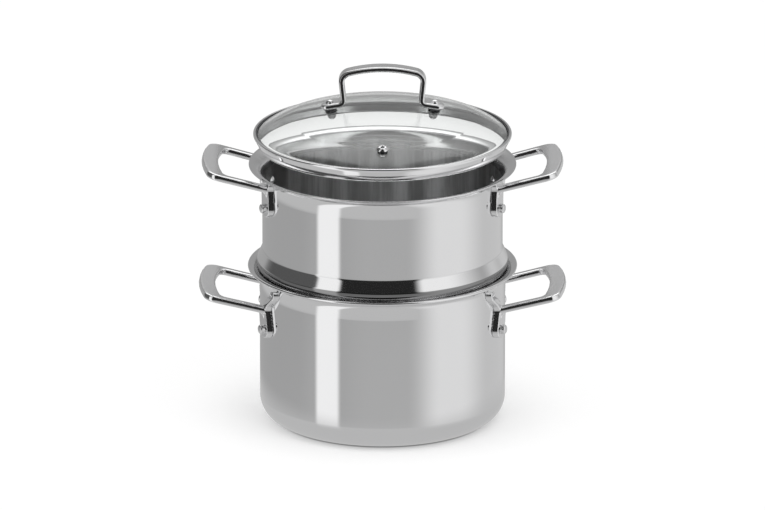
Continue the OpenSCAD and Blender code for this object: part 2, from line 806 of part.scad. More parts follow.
// The gasket under a foot, with a sleeve through the glass
module gasket(side) {
    color(rubber)
        on_glass(side)
            difference() {
                union() {
                    translate([0, 0, touch_gap]) cylinder(d = gasket_d, h = gasket_t);
                    translate([0, 0, -glass_t])
                        cylinder(d = gasket_sleeve_d, h = glass_t + gasket_t);
                }
                cylinder(d = screw_hole_d, h = 4 * overrun, center = true);
            }
}

module under_gasket(side) {
    color(rubber)
        on_glass(side)
            translate([0, 0, under_gasket_top - under_gasket_t])
                difference() {
                    cylinder(d = under_gasket_d, h = under_gasket_t);
                    translate([0, 0, -overrun]) cylinder(d = screw_hole_d, h = 3 * overrun);
                }
}

// A cap nut below the glass, with a blind hole
module cap_nut(side) {
    body_h = nut_h - nut_d / 2;
    color(steel)
        on_glass(side)
            translate([0, 0, nut_top])
                difference() {
                    union() {
                        translate([0, 0, -nut_flange_t])
                            cylinder(d = nut_flange_d, h = nut_flange_t);
                        translate([0, 0, -body_h]) cylinder(d = nut_d, h = body_h);
                        translate([0, 0, -body_h])
                            rotate([180, 0, 0])
                                dome(nut_d, nut_d / 2);
                    }
                    translate([0, 0, nut_roof - nut_h])
                        cylinder(d = screw_hole_d, h = nut_h);
                }
}

// The steam vent: an eyelet through its grommet, rolled over below
module steam_vent() {
    base = touch_gap + vent_seal_t + touch_gap;
    under = vent_seal_under - touch_gap;
    color(steel)
        at_vent()
            difference() {
                union() {
                    translate([0, 0, base]) dome(vent_d, vent_h);
                    translate([0, 0, under - vent_lower_h])
                        cylinder(d = vent_seal_d, h = vent_lower_h);
                    translate([0, 0, under]) cylinder(d = vent_barrel_d, h = base - under);
                }
                translate([0, 0, under - overrun])
                    cylinder(d = vent_hole_d, h = 4 * overrun);
                translate([0, 0, base + vent_h / 2])
                    cylinder(d1 = vent_hole_d, d2 = vent_mouth_share * vent_hole_d,
                             h = vent_h / 2);
            }
}

// The grommet between the steam vent and the glass
module vent_seal() {
    color(rubber)
        at_vent()
            difference() {
                union() {
                    translate([0, 0, touch_gap]) cylinder(d = vent_seal_d, h = vent_seal_t);
                    translate([0, 0, vent_seal_under])
                        cylinder(d = vent_sleeve_d, h = touch_gap - vent_seal_under);
                    translate([0, 0, vent_seal_under])
                        cylinder(d = vent_seal_d, h = vent_seal_t);
                }
                translate([0, 0, -3 * overrun])
                    cylinder(d = vent_barrel_d + 2 * touch_gap, h = 6 * overrun);
            }
}

pot_shell();
pot_handle(left);  // pot_left_handle
pot_handle(right);  // pot_right_handle
pot_rivet(left, front);  // pot_left_front_rivet
pot_rivet(left, rear);  // pot_left_rear_rivet
pot_rivet(right, front);  // pot_right_front_rivet
pot_rivet(right, rear);  // pot_right_rear_rivet
steamer_wall();
steamer_floor();
steamer_handle(left);  // steamer_left_handle
steamer_handle(right);  // steamer_right_handle
steamer_rivet(left, front);  // steamer_left_front_rivet
steamer_rivet(left, rear);  // steamer_left_rear_rivet
steamer_rivet(right, front);  // steamer_right_front_rivet
steamer_rivet(right, rear);  // steamer_right_rear_rivet
lid_glass();
lid_ring();
glass_seal();
lid_handle();
lid_screw(left);  // left_screw
lid_screw(right);  // right_screw
gasket(left);  // left_gasket
gasket(right);  // right_gasket
under_gasket(left);  // left_under_gasket
under_gasket(right);  // right_under_gasket
cap_nut(left);  // left_cap_nut
cap_nut(right);  // right_cap_nut
steam_vent();
vent_seal();
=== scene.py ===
"""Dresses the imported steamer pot: polished steel shells, forged satin handles, a glass lid.

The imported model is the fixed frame. Sizes are in metres, with the pot's base on z = 0, the side
handles along X and the steam vent on -Y.
"""

import json
from math import acos, asin, ceil, cos, pi, radians, sin, sqrt, tan

import bpy
from mathutils import Matrix, Vector

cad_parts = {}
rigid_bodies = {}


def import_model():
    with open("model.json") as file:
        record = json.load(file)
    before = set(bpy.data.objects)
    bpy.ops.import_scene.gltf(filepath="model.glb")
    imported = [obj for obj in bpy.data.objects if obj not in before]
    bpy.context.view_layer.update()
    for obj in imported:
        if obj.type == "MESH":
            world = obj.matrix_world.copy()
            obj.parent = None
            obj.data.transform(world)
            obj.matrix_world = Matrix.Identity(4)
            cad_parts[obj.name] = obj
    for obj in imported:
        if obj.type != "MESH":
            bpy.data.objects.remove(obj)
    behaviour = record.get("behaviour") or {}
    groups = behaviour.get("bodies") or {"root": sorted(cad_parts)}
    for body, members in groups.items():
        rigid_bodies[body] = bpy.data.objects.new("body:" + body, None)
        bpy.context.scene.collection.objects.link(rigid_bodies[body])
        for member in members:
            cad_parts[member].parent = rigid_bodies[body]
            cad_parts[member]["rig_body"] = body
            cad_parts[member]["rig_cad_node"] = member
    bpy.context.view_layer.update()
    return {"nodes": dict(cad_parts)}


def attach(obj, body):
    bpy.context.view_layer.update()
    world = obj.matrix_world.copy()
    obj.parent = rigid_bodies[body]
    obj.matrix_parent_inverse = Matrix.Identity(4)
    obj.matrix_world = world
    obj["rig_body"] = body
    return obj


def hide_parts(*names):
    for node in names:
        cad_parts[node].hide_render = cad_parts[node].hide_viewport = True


bl_info = {
    "name": "Steamer pot",
    "version": (1, 0, 0),
    "blender": (4, 5, 0),
    "location": "3D View > Sidebar > Steamer pot",
    "description": "Models the pot, its steamer and its glass lid around the packed part",
    "category": "Object",
}

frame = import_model()

SIDES = {"left": -1, "right": 1}
ENDS = {"front": -1, "rear": 1}
MM = 0.001
MICRON = 0.001 * MM

# Gaps between pieces
SEAT_GAP = 0.3 * MM
TOUCH_GAP = 0.02 * MM
SHANK_GAP = 0.1 * MM

# Outlines and meshes
ARC_STEP = radians(5)
SHOULDER_STEP = radians(1.5)
EASE = 0.5 * MM
EASE_R = 150 * MM
EASE_TURN = radians(3)
SLOPE_TURN = radians(24)
CAP_STEPS = 8
NUT_STEPS = 10
SHELL_STEPS = 240
SMALL_STEPS = 48
SMOOTH_ANGLE = radians(35)
NO_LENGTH = 1e-7
SAME_POINT = 1e-6
SAME_SEAM = 2e-6
HANDLE_VOXEL = 0.5 * MM
BAR_VOXEL = 0.3 * MM
RIVET_EDGE_SHARE = 0.35
VENT_EDGE_R = 4.1 * MM
VENT_SLEEVE_R = 3.5 * MM
VENT_DISH_R = 2.3 * MM
VENT_LIP_R = 1.9 * MM
VENT_LIP_H = 1.62 * MM
VENT_THROAT_H = 1.1 * MM
VENT_SHEET = 1 * MM
VENT_UNDER_GAP = 0.14 * MM
SOFT_EDGE = 0.35 * MM
GROUND_EDGE = 0.4 * MM

# Where the painted shade on the bead's crest, the brushing and the satin grip start and end, by
# radius, height or the normal's height, and how dark the painted shade is
BEAD_CREST_R = (0.1051, 0.1049)
BEAD_CREST_Z = ((0.1285, 0.1295), (0.150, 0.145))
BEAD_CREST_TILT = ((0.36, 0.25), (-0.5, -0.1))
BRUSHED_BELOW_Z = (0.212, 0.205)
CREST_SHADE = 0.34
GRIP_X = (0.130, 0.142)

# The floor: its size, how far its painted contact shadow and its soft shade reach, and how dark the
# painted contact shadow is
FLOOR_SIZE = 12
PAINTED_CONTACT_SHADOW_R = (0.0855, 0.0905)
CONTACT_SHADE = 0.25
FLOOR_SHADE_R = (0.105, 0.21)
FLOOR_SHADE = (0.2, 0.85)

# The studio that the steel reflects, in levels of white. A change is (low, high, amount) in
# degrees round the object from the front, and a box is (centre, half width, soft edge).
TABLE_LEVEL = 0.41
TABLE_CHANGES = ((-60, -10, 0.06), (22, 58, 0.38), (78, 118, -0.22), (150, 178, -0.22))
TABLE_BOX = (-70, 5, 12)
TABLE_BOX_LEVEL = 0.04
NEAR_TABLE_RISE = (-17.8, -19.4)
NEAR_TABLE_LEVEL = 0.585
NEAR_TABLE_R = 0.22
NEAR_TABLE_EDGE_R = (0.12, 0.2)
NEAR_TABLE_Z = 0.3 * MM
NEAR_TABLE_GLOW = 0.57
WALL_LEVEL = 0.02
WALL_BOX = (-100, 52, 10)
WALL_BOX_LEVEL = 0.08
WALL_CHANGES = ((30, 41, 0.98), (62, 116, -0.63), (104, 122, 0.28), (124, 140, -0.2))
REAR_FROM = (131, 142)
REAR_LEVEL = 0.36
REAR_RISE = (18, 34)
REAR_RISE_LEVEL = 0.2
GLASS_BOX_RISES = ((32, 50), (88, 78))
GLASS_BOX_LEVEL = 1.2
ROOF_RISE = (74, 88)
ROOF_LEVEL = 0.8
HORIZON = (-2, 7)
STRIP_BOX = (-53.6, 11.7, 2.5)
STRIP_BOX_LEVEL = 1.06

# The camera's sensor in millimetres and its reach in metres
SENSOR_WIDTH = 36
CLIP_END = 50

# The lamps: place and size in metres, and watts
LAMPS = {"key": ((0.9, -1.1, 1.9), 1.4, 9), "fill": ((-1.3, -0.7, 1.6), 1.6, 6)}
LAMPS_AIM = Vector((0, 0, 0.15))


def length(label, text, default):
    """A size property, given in millimetres."""
    return bpy.props.FloatProperty(
        name=label, description=text, default=default * MM, min=0, unit="LENGTH", precision=4
    )


def angle(label, text, default):
    """An angle property, given in degrees."""
    return bpy.props.FloatProperty(
        name=label, description=text, default=radians(default), unit="ROTATION"
    )


def colour(label, text, default):
    """A linear colour property."""
    return bpy.props.FloatVectorProperty(
        name=label, description=text, default=default, size=3, min=0, max=1, subtype="COLOR"
    )


def share(label, text, default):
    """A number from 0 to 1."""
    return bpy.props.FloatProperty(
        name=label, description=text, default=default, min=0, max=1, subtype="FACTOR"
    )


class PotSettings(bpy.types.PropertyGroup):
    """Sizes of the pot."""

    inner_r: length("Inner radius", "Inner radius of the pot", 100)
    wall: length("Wall", "Wall and base thickness of the pot", 2.5)
    height: length("Height", "Height of the pot's rim", 133.4)
    corner_r: length("Corner radius", "Outer radius of the rounded base corner", 20.6)
    flare_r: length("Flare radius", "Radius of the flare on the inner face of the rim", 11)


class SteamerSettings(bpy.types.PropertyGroup):
    """Sizes of the steamer."""

    outer_r: length("Outer radius", "Outer radius of the steamer's wall", 100.3)
    wall: length("Wall", "Sheet thickness of the steamer", 1)
    rise: length("Rise", "Height of the steamer's rim above the pot's rim", 87.4)
    depth: length("Depth", "Depth of the steamer's floor below the pot's rim", 22)
    flare_r: length("Flare radius", "Radius of the flare on the inner face of the rim", 11.6)
    bead_out: length("Bead", "How far the seating bead stands out from the wall", 4.6)
    bead_slope_h: length("Bead slope", "Height of the slope above the bead", 12.8)
    bead_band_h: length("Bead band", "Height of the bead's upright band", 1)
    bead_curve_r: length("Bead curve", "Outer radius of the bead's lower curve", 10)
    skirt_in: length("Skirt", "How far the skirt lies inside the bead", 6.9)
    skirt_curve_r: length("Skirt curve", "Radius of the curve from bead to skirt", 5)
    corner_r: length("Corner radius", "Outer radius of the bottom corner", 8)


class LidSettings(bpy.types.PropertyGroup):
    """Sizes of the lid and its fittings."""

    lift: length("Lift", "How far the lid is lifted off its seat", 18.6)
    ring_r: length("Ring radius", "Outer radius of the ring", 107.8)
    ring_t: length("Ring sheet", "Sheet thickness of the ring", 0.8)
    skirt_h: length("Skirt height", "Height of the ring below its rolled lip", 10)
    taper: angle("Taper", "Angle of the ring's skirt from the upright", 28)
    bend_r: length("Bend radius", "Radius between the ring's skirt and its lip", 3)
    hem_r: length("Hem radius", "Radius of the hem at the ring's lower edge", 1.2)
    hem_w: length("Hem width", "Width of the hem's flat", 1)
    lip_r: length("Lip radius", "Radius of the ring's rolled lip", 1.2)
    lip_w: length("Lip width", "Width of the lip's flat", 0.6)
    glass_t: length("Glass thickness", "Thickness of the glass", 4)
    seal_w: length("Seal width", "Gap between glass edge and ring", 2.4)
    crown_r: length("Crown radius", "Radius of the crown of the glass", 270)
    shoulder_r: length("Shoulder radius", "Radius of the shoulder of the glass", 87)
    shoulder_slope: angle("Shoulder slope", "Slope where crown and shoulder meet", 17)
    vent_slope: angle("Vent slope", "Slope of the glass at the steam vent", 20.2)
    screw_spacing: length("Screw spacing", "Distance between the lid screws", 86)


class FittingSettings(bpy.types.PropertyGroup):
    """Sizes of the rivets, the lid's fasteners and the vent."""

    foot_t: length("Foot thickness", "Thickness of a side handle's foot", 4.8)
    foot_drop: length("Foot length", "Length of a foot below its arm", 23.8)
    foot_spacing: length("Foot spacing", "Distance between a handle's feet", 73)
    pot_drop: length("Pot arm drop", "Height of the pot's rim above its arms", 29.2)
    pot_lean: angle("Pot foot lean", "Lean of the pot's feet", 12)
    steamer_drop: length("Steamer arm drop", "Height of the steamer's rim above its arms", 11.7)
    steamer_lean: angle("Steamer foot lean", "Lean of the steamer's feet", 3)
    rivet_rise: length("Rivet rise", "Height of a rivet above the end of its foot", 8)
    rivet_r: length("Rivet shank", "Radius of a rivet's shank", 2.5)
    rivet_head_d: length("Rivet head", "Diameter of a rivet's outer head", 7.8)
    rivet_head_h: length("Rivet head height", "Height of a rivet's outer head", 4.4)
    rivet_inner_d: length("Inner head", "Diameter of a rivet's inner head", 9)
    rivet_inner_h: length("Inner head height", "Height of a rivet's inner head", 2.2)
    bar_t: length("Bar thickness", "Thickness of the lid handle's bar", 4.6)
    screw_r: length("Screw", "Radius of a lid screw", 2)
    screw_head_d: length("Screw head", "Diameter of a lid screw's head", 7.6)
    screw_head_h: length("Screw head height", "Height of a lid screw's head", 2.6)
    gasket_r: length("Gasket", "Radius of the gasket under a foot", 5.75)
    gasket_t: length("Gasket thickness", "Thickness of the gasket under a foot", 1)
    under_gasket_r: length("Under gasket", "Radius of the gasket below the glass", 5)
    under_gasket_t: length("Under gasket thickness", "Thickness of that gasket", 1)
    nut_r: length("Nut", "Radius of a cap nut", 3.8)
    nut_h: length("Nut height", "Height of a cap nut", 5.8)
    nut_flange_r: length("Nut flange", "Radius of a cap nut's flange", 4.6)
    nut_roof: length("Nut roof", "Thickness of a cap nut's end", 1.2)
    vent_d: length("Vent", "Diameter of the steam vent's head", 10.2)
    vent_h: length("Vent height", "Height of the steam vent's head", 2)
    vent_hole_r: length("Vent hole", "Radius of the steam vent's hole", 1.5)
    vent_barrel_r: length("Vent barrel", "Radius of the steam vent's barrel", 2.5)
    vent_seal_t: length("Vent seal", "Thickness of the steam vent's seal", 1)


class FinishSettings(bpy.types.PropertyGroup):
    """Colours and finishes."""

    steel: colour("Steel", "Colour of the polished steel", (0.80, 0.80, 0.805))
    satin: colour("Satin steel", "Colour of the satin steel of the handles", (0.74, 0.74, 0.745))
    silicone: colour("Silicone", "Colour of the seals and gaskets", (0.035, 0.035, 0.037))
    glass: colour("Glass", "Tint of the glass", (0.955, 0.97, 0.963))
    polish: share("Polish", "Roughness of the polished steel", 0.05)
    brushed: share("Brushed", "Roughness that brushing adds inside", 0.3)
    satin_roughness: share("Satin", "Roughness that the satin grip adds", 0.26)


class StageSettings(bpy.types.PropertyGroup):
    """Camera, floor and light."""

    floor: colour("Floor", "Colour of the floor", (1.0, 1.0, 1.0))
    aim_z: length("Aim height", "Height on the axis that the camera looks at", 140.4)
    distance: length("Distance", "Distance of the camera from the axis", 13362)
    elevation: angle("Elevation", "Angle of the camera above the horizon", 17.34)
    lens: bpy.props.FloatProperty(name="Lens", description="Focal length in mm", default=752.9)


SETTINGS = {
    "pot_sizes": PotSettings,
    "steamer_sizes": SteamerSettings,
    "lid_sizes": LidSettings,
    "fitting_sizes": FittingSettings,
    "finishes": FinishSettings,
    "studio": StageSettings,
}


# Shader maths


class Value:
    """A shader socket that can be used in sums."""

    def __init__(self, nodes, socket):
        self.nodes = nodes
        self.socket = socket

    def math(self, operation, *others):
        """A Math node on this value and others."""
        inputs = dict(enumerate((self, *others)))
        return self.nodes.add("ShaderNodeMath", inputs, operation=operation)

    def __add__(self, other):
        return self.math("ADD", other)

    def __mul__(self, other):
        return self.math("MULTIPLY", other)

    def __sub__(self, other):
        return self.math("SUBTRACT", other)

    def __rsub__(self, other):
        return self.nodes.add("ShaderNodeMath", {0: other, 1: self}, operation="SUBTRACT")

    __radd__ = __add__
    __rmul__ = __mul__

    def ramp(self, low, high, start=0.0, end=1.0):
        """Smoothly from start at low to end at high."""
        return self.nodes.add(
            "ShaderNodeMapRange",
            {"Value": self, "From Min": low, "From Max": high, "To Min": start, "To Max": end},
            interpolation_type="SMOOTHSTEP",
        )


class Nodes:
    """Adds nodes to a material's or the world's tree."""

    def __init__(self, tree):
        self.tree = tree
        tree.nodes.clear()

    def add(self, kind, inputs=None, output=0, **settings):
        """A node with its settings, then its sockets' values or links."""
        node = self.tree.nodes.new(kind)
        for key, value in settings.items():
            setattr(node, key, value)
        for key, value in (inputs or {}).items():
            if isinstance(value, Value):
                self.tree.links.new(value.socket, node.inputs[key])
            else:
                node.inputs[key].default_value = value
        return Value(self, node.outputs[output]) if len(node.outputs) else node

    def place(self):
        """The place on the piece, in metres."""
        return self.add("ShaderNodeTexCoord", output="Object")

    def distance(self):
        """How far the place is from the origin."""
        inputs = {0: self.place()}
        return self.add("ShaderNodeVectorMath", inputs, output="Value", operation="LENGTH")

    def split(self, vector):
        """The X, Y and Z of a vector."""
        parts = self.add("ShaderNodeSeparateXYZ", {0: vector}).socket.node.outputs
        return [Value(self, part) for part in parts]

    def normal(self):
        """The direction that the surface faces."""
        return self.add("ShaderNodeNewGeometry", output="Normal")

    def stretched(self, scale):
        """The place on the piece, scaled along each axis."""
        return self.add("ShaderNodeMapping", {"Vector": self.place(), "Scale": scale})

    def noise(self, scale, detail=3.0, vector=None, roughness=0.5):
        """Cloudy noise, around 0.5."""
        inputs = {"Vector": vector or self.place(), "Scale": scale, "Detail": detail,
                  "Roughness": roughness}
        return self.add("ShaderNodeTexNoise", inputs, output="Fac")

    def mix(self, factor, a, b):
        """A colour between a and b."""
        inputs = {"Factor": factor, 6: a, 7: b}
        return self.add("ShaderNodeMix", inputs, output=2, data_type="RGBA")

    def bump(self, height, distance):
        """A bump of that many metres."""
        return self.add("ShaderNodeBump", {"Height": height, "Distance": distance})


def new_material(name):
    """An empty material and its nodes."""
    made = bpy.data.materials.new(name)
    made.use_nodes = True
    return made, Nodes(made.node_tree)


def surface(nodes, **inputs):
    """A Principled surface as the material's output. Names are the sockets', with _ for a space."""
    sockets = {name.replace("_", " "): value for name, value in inputs.items()}
    shader = nodes.add("ShaderNodeBsdfPrincipled", sockets)
    nodes.add("ShaderNodeOutputMaterial", {"Surface": shader})


def rgba(value, gain=1.0):
    """A colour with its alpha."""
    return (*[min(1.0, c * gain) for c in value], 1.0)


def turned_steel(name, finish):
    """Sheet steel, polished outside, with faint polishing rings round the Z axis. The face that
    looks to the axis is brushed, less so near the rim, and its colour has streaks there, partly
    the brushing's grain and partly painted streaky highlights. A painted shade darkens the crest
    of the steamer's bead, where the pot's rim shades it."""
    made, n = new_material(name)
    rings = n.noise(1, 4, n.stretched((6, 6, 5200)))
    cloud = n.noise(22, 2)
    smudge = n.noise(9, 5, roughness=0.62).ramp(0.52, 0.74)
    x, y, z = n.split(n.place())
    nx, ny, nz = n.split(n.normal())
    inside = (x * nx + y * ny).ramp(-0.02, -0.08) * z.ramp(*BRUSHED_BELOW_Z, 0.3, 1.0)
    # Mask of the painted shade on the crest of the steamer's bead
    crest = (x * x + y * y).math("SQRT").ramp(*BEAD_CREST_R)
    for height in BEAD_CREST_Z:
        crest = crest * z.ramp(*height)
    for tilt in BEAD_CREST_TILT:
        crest = crest * nz.ramp(*tilt)
    brushing_and_painted_sheen = n.noise(1, 5, n.stretched((55, 55, 4)), roughness=0.62)
    steel = n.mix(cloud, rgba(finish.steel, 0.985), rgba(finish.steel, 1.01))
    # Painted shade: the bead's crest takes about a third of the steel's colour
    steel = n.mix(crest, steel, rgba(finish.steel, CREST_SHADE))
    # The inside's colour runs from 0.6 to 1.2 of the steel's in streaks: partly the brushing's
    # grain, partly painted streaky highlights of brushed steel
    brushed = n.mix(brushing_and_painted_sheen.ramp(0.38, 0.66), rgba(finish.steel, 0.6), rgba(finish.steel, 1.2))
    surface(
        n,
        Base_Color=n.mix(inside, steel, brushed),
        Metallic=1.0,
        Roughness=finish.polish + rings * 0.03 + smudge * 0.02 + inside * finish.brushed,
        Normal=n.bump(rings, 1.8 * MICRON),
    )
    return made


def grained_steel(nodes, finish, flat, camber):
    """The surface of forged steel: satin where flat is 1, polished elsewhere. The camber tilts
    the normal of upright faces."""
    grain = nodes.noise(2600, 3)
    along_grain = nodes.noise(1, 3, nodes.stretched((2400, 160, 2400)))
    z = nodes.split(nodes.place())[2]
    depth = flat * (1.5 * MICRON) + 0.5 * MICRON
    surface(
        nodes,
        Base_Color=nodes.mix(flat, rgba(finish.steel), rgba(finish.satin)),
        Metallic=1.0,
        Roughness=finish.polish + 0.02 + flat * finish.satin_roughness + grain * 0.05,
        Normal=nodes.bump((grain + along_grain) * depth + z * camber, 1.0),
    )


def forged_steel(name, finish):
    """Steel of the side handles: polished, with a satin grip."""
    made, n = new_material(name)
    up = n.split(n.normal())[2].math("ABSOLUTE")
    out = n.split(n.place())[0].math("ABSOLUTE")
    grained_steel(n, finish, up.ramp(0.86, 0.96) * out.ramp(*GRIP_X), camber=-0.2)
    return made


def bar_steel(name, finish):
    """Polished bar of the lid handle, with a satin top."""
    made, n = new_material(name)
    up = n.split(n.normal())[2]
    grained_steel(n, finish, up.ramp(0.9, 0.98) * 0.6, camber=-0.25)
    return made


def fastener_steel(name, finish):
    """Polished steel of rivets, screws and the vent, with fine scratches."""
    made, n = new_material(name)
    scratches = n.noise(1, 4, n.stretched((900, 4000, 2500)))
    surface(
        n,
        Base_Color=n.mix(n.noise(300, 2), rgba(finish.steel, 0.9), rgba(finish.steel)),
        Metallic=1.0,
        Roughness=0.12 + scratches * 0.08,
        Normal=n.bump(scratches, 1.5 * MICRON),
    )
    return made


def nut_steel(name, finish):
    """Satin steel of the cap nuts."""
    made, n = new_material(name)
    grain = n.noise(2600, 3)
    surface(
        n,
        Base_Color=n.mix(n.noise(300, 2), rgba(finish.steel), rgba(finish.steel, 1.15)),
        Metallic=0.3,
        Roughness=0.34 + grain * 0.08,
        Normal=n.bump(grain, 2 * MICRON),
    )
    return made


def clear_glass(name, finish):
    """Clear glass, with the faint waviness of a pressed and tempered lid."""
    made, n = new_material(name)
    wave = n.noise(28, 2)
    surface(
        n,
        Base_Color=n.mix(n.noise(12, 2), rgba(finish.glass, 0.995), rgba(finish.glass)),
        Roughness=wave * 0.012,
        Normal=n.bump(wave, 12 * MICRON),
        Transmission_Weight=1.0,
        IOR=1.5,
    )
    return made


def silicone_rubber(name, finish):
    """Black silicone with a fine moulded grain."""
    made, n = new_material(name)
    grain = n.noise(1800, 3)
    surface(
        n,
        Base_Color=n.mix(n.noise(90, 3), rgba(finish.silicone), rgba(finish.silicone, 1.9)),
        Roughness=0.48 + grain * 0.14,
        Normal=n.bump(grain, 12 * MICRON),
    )
    return made


FINISHES = {
    "polished steel": turned_steel,
    "satin steel": forged_steel,
    "bar steel": bar_steel,
    "fastener steel": fastener_steel,
    "nut steel": nut_steel,
    "lid glass": clear_glass,
    "black silicone": silicone_rubber,
}


def finish_of(context, name):
    """The material of that name, made on first use."""
    made = bpy.data.materials.get(name)
    return made or FINISHES[name](name, context.scene.finishes)


# Outlines, in a half plane through the axis


def along(a):
    """The direction at an angle."""
    return Vector((cos(a), sin(a)))


def strip_side(steps, off):
    """Points of one side of a bent sheet. It starts at the origin and goes along +X, and off is
    the side's distance to the left of the path. A step is [straight run, bend radius, turn to
    the left]. Each straight run has a point near both its ends, so the shading stays even."""
    points, p, a = [], Vector((0, 0)), 0.0
    for run, r, turn in steps:
        left = along(a + pi / 2)
        if run > 0:
            near = [0, EASE, run - EASE] if run > 3 * EASE else [0]
            points += [p + d * along(a) + off * left for d in near]
            p = p + run * along(a)
        side = (turn > 0) - (turn < 0)
        centre = p + side * r * left
        count = max(1, ceil(abs(turn) / ARC_STEP))
        for k in range(count + 1):
            points.append(centre + (off - side * r) * along(a + pi / 2 + turn * k / count))
        a += turn
        p = centre - side * r * along(a + pi / 2)
    return points, p, a


def strip(thickness, steps, start=(0, 0)):
    """The closed outline of a bent sheet with a round last edge."""
    right, end, a = strip_side(steps, 0)
    left, _, _ = strip_side(steps, thickness)
    half = thickness / 2
    cap = [end + half * along(a + pi / 2) + half * along(a - pi / 2 + pi * k / CAP_STEPS)
           for k in range(1, CAP_STEPS)]
    outline = right + cap + left[::-1]
    return [Vector(start) + p for p in outline]


def eased_rim(run, r):
    """The steps of a wall and its flared rim: a slight lean leads from the wall into the flare."""
    lean = (EASE_R - r) * sin(EASE_TURN)
    return [[run - lean, EASE_R, -EASE_TURN], [0, r, EASE_TURN - pi / 2]]


def eased_slope(run, out, height):
    """The steps of a straight slope between two small bends, after a straight run."""
    turn = SLOPE_TURN
    r = (height * sin(turn) - out * cos(turn)) / (1 - cos(turn)) / 2
    straight = (out * (1 + cos(turn)) - height * sin(turn)) / sin(turn)
    return [[run, r, turn], [straight, r, -turn]]


def dome_line(d, h, base, count=10):
    """The line of a domed head from its rim to its middle, rising from base."""
    r = (d * d / 4 + h * h) / 2 / h
    edge = asin(min(1.0, d / 2 / r))
    turns = [edge * (1 - k / count) for k in range(count + 1)]
    return [Vector((r * sin(a), base + h - r + r * cos(a))) for a in turns]


def button_line(d, h, base, edge_r, count=6):
    """The line of a flat head with a rounded edge, from its rim to its middle."""
    turns = [pi / 2 * k / count for k in range(count + 1)]
    edge = [Vector((d / 2 - edge_r + edge_r * cos(a), base + h - edge_r + edge_r * sin(a)))
            for a in turns]
    return [Vector((d / 2, base)), *edge, Vector((0, base + h))]


# Modelling


def leave_edit_mode():
    """Object mode, with nothing selected."""
    if bpy.context.mode != "OBJECT":
        bpy.ops.object.mode_set(mode="OBJECT")
    bpy.ops.object.select_all(action="DESELECT")


def only(piece):
    """Selects one piece and makes it the active one."""
    leave_edit_mode()
    piece.select_set(True)
    bpy.context.view_layer.objects.active = piece


def finished(context, piece, name, finish, body, replaces=()):
    """Names a piece, gives it its finish, and lets it ride on its body."""
    piece.name = name
    piece.data.name = name
    piece.data.materials.clear()
    piece.data.materials.append(finish_of(context, finish))
    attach(piece, body)
    if replaces:
        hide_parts(*replaces)
    return piece


def turned(outline, steps=SHELL_STEPS, closed=True):
    """A piece turned about the Z axis from its outline of (radius, height)."""
    leave_edit_mode()
    bpy.ops.mesh.primitive_plane_add(size=MM, enter_editmode=True)
    bpy.ops.mesh.select_all(action="SELECT")
    bpy.ops.mesh.merge(type="CENTER")
    points = [Vector((max(0.0, p[0]), 0, p[1])) for p in outline]
    if closed:
        points.append(points[0])
    bpy.ops.transform.translate(value=points[0])
    for a, b in zip(points, points[1:]):
        if (b - a).length > NO_LENGTH:
            bpy.ops.mesh.extrude_region_move(TRANSFORM_OT_translate={"value": b - a})
    bpy.ops.mesh.select_all(action="SELECT")
    bpy.ops.mesh.remove_doubles(threshold=SAME_POINT)
    bpy.ops.mesh.spin(steps=steps, angle=2 * pi, center=(0, 0, 0), axis=(0, 0, 1))
    bpy.ops.mesh.select_all(action="SELECT")
    bpy.ops.mesh.remove_doubles(threshold=SAME_SEAM)
    bpy.ops.mesh.dissolve_degenerate(threshold=NO_LENGTH)
    bpy.ops.mesh.select_all(action="SELECT")
    bpy.ops.mesh.normals_make_consistent(inside=False)
    leave_edit_mode()
    piece = bpy.context.object
    only(piece)
    bpy.ops.object.shade_smooth_by_angle(angle=SMOOTH_ANGLE)
    return piece


def moved(piece, matrix):
    """Puts a piece in its place, and the place in its mesh."""
    only(piece)
    piece.matrix_world = matrix
    bpy.ops.object.transform_apply(location=True, rotation=True, scale=True)
    return piece


def copied(piece, matrix):
    """A copy with its own mesh, in another place."""
    only(piece)
    bpy.ops.object.duplicate(linked=False)
    return moved(bpy.context.object, matrix)


def forged(node, voxel, smoothing):
    """A forged piece: the node's solid, with its edges and corners run together as by a die."""
    leave_edit_mode()
    source = frame["nodes"][node]
    source.select_set(True)
    bpy.context.view_layer.objects.active = source
    bpy.ops.object.duplicate(linked=False)
    piece = bpy.context.object
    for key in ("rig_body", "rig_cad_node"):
        if key in piece:
            del piece[key]
    piece.parent = None
    only(piece)
    bpy.ops.object.mode_set(mode="EDIT")
    bpy.ops.mesh.select_all(action="SELECT")
    bpy.ops.mesh.remove_doubles(threshold=SAME_POINT)
    bpy.ops.object.mode_set(mode="OBJECT")
    remesh = piece.modifiers.new("forge", "REMESH")
    remesh.mode = "VOXEL"
    remesh.voxel_size = voxel
    remesh.use_smooth_shade = True
    bpy.ops.object.modifier_apply(modifier=remesh.name)
    smooth = piece.modifiers.new("tumble", "SMOOTH")
    smooth.factor = 0.5
    smooth.iterations = smoothing
    bpy.ops.object.modifier_apply(modifier=smooth.name)
    only(piece)
    bpy.ops.object.shade_smooth()
    return piece


# Places that several pieces share


